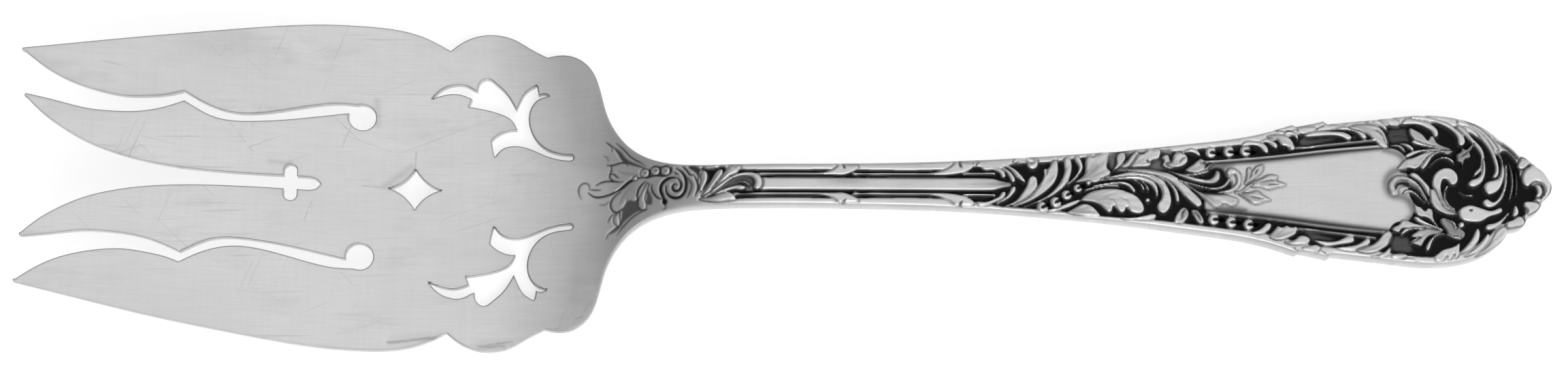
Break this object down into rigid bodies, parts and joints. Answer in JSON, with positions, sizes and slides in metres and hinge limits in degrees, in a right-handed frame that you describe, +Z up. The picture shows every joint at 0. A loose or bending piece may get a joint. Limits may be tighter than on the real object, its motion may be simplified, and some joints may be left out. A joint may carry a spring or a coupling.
{
  "type": "cold meat fork",
  "caption": "Serving fork with a wide, curved, pierced plate, pointed tines and a carved tapering handle, for lifting slices of cold meat.",
  "frame": {"origin": "on the table's surface, under the centre of the fork's bounding box", "axes": "+X along the fork from the tine tips to the handle's end, +Y across it, +Z up off the table"},
  "size_m": [0.226, 0.0493, 0.0205],
  "materials": {
    "silver": "polished and lightly scratched silver, darkened in the sunk ground of the carving"
  },
  "bodies": {
    "root": {"meat_fork": "silver"}
  },
  "joints": []
}
